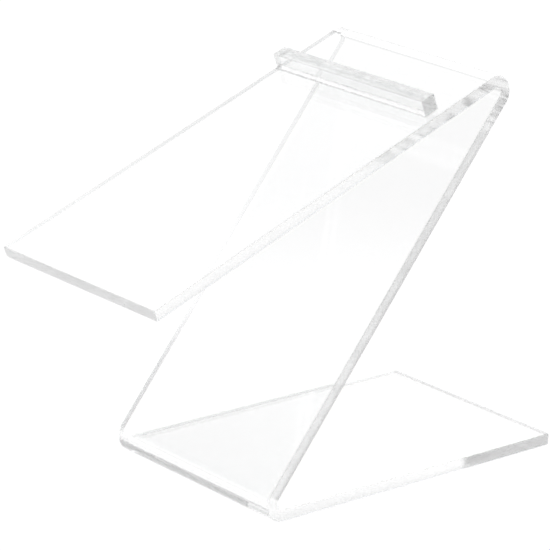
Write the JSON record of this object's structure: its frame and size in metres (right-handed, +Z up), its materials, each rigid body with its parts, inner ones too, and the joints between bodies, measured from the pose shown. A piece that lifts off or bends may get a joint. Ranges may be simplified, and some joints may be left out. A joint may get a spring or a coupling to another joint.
{
  "type": "display stand",
  "caption": "Clear acrylic Z-fold display stand: flat base, leaning back strut and forward-sloping platform with a cemented square stop bar near its high end.",
  "frame": {"origin": "middle of the bottom of the stand's bounding box, on the table under the stand", "axes": "+Z up from the table, +Y from the platform's free edge towards the rear edge of the base, +X across the strip"},
  "size_m": [0.0888, 0.201, 0.1553],
  "materials": {
    "clear_acrylic_sheet": "polished",
    "clear_acrylic_bar": "polished",
    "clear_cement": "gloss"
  },
  "bodies": {
    "root": {"folded_sheet": "clear_acrylic_sheet", "stop_bar": "clear_acrylic_bar", "cement_film": "clear_cement"}
  },
  "joints": []
}
